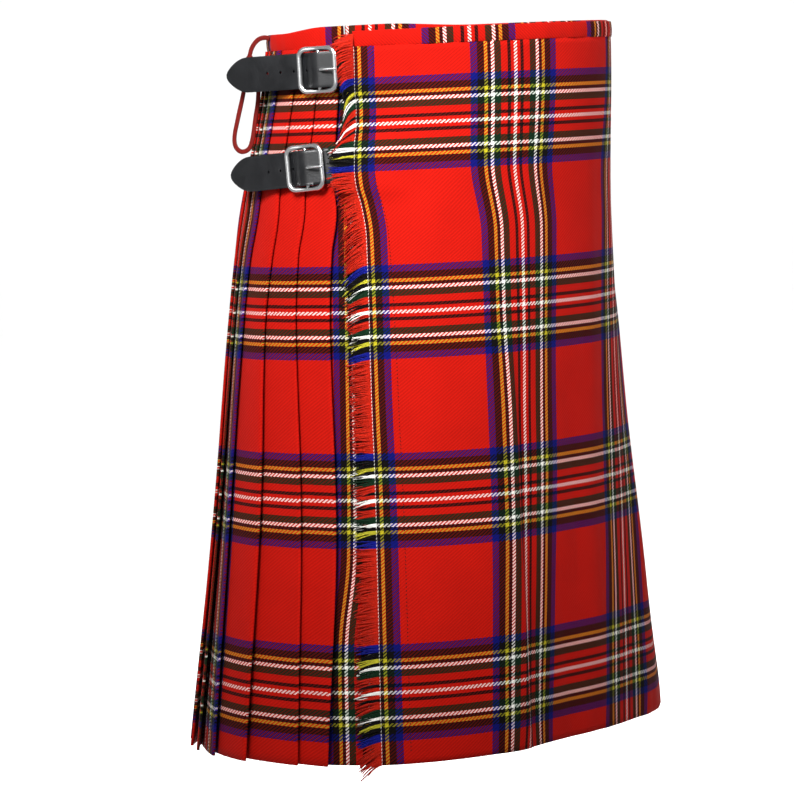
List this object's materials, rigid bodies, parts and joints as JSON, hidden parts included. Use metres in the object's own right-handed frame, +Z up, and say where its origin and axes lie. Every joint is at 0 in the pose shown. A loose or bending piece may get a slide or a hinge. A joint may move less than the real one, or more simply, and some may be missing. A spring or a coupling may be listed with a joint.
{
  "type": "pleated tartan kilt, worn form",
  "caption": "Pleated knee-length tartan kilt in its hollow worn form, with a fringed over apron and leather hip straps fastened in chrome buckles.",
  "frame": {"origin": "middle of the waist ring, at half the height of the over apron's waistband, where the wearer's waist holds the kilt", "axes": "+Z up, the wearer faces -Y, and the wearer's left is +X"},
  "size_m": [0.4975, 0.3859, 0.615],
  "materials": {
    "wool_tartan": "worsted wool in a 2/2 twill, red Stewart-type tartan",
    "wool_fringe": "unwoven wool threads in the tartan's colours",
    "black_leather": "matte black strap leather",
    "chrome_plate": "bright chrome plate on cast metal",
    "ribbon": "dark red woven ribbon"
  },
  "bodies": {
    "root": {"over_apron": "wool_tartan", "under_apron": "wool_tartan", "pleats": "wool_tartan", "waistband_over_apron": "wool_tartan", "waistband_pleats": "wool_tartan", "waistband_under_apron": "wool_tartan", "fringe": "wool_fringe", "strap_upper": "black_leather", "strap_lower": "black_leather", "buckle_tab_upper": "black_leather", "buckle_tab_lower": "black_leather", "buckle_frame_upper": "chrome_plate", "buckle_frame_lower": "chrome_plate", "buckle_prong_upper": "chrome_plate", "buckle_prong_lower": "chrome_plate", "hanging_loop": "ribbon"}
  },
  "joints": []
}
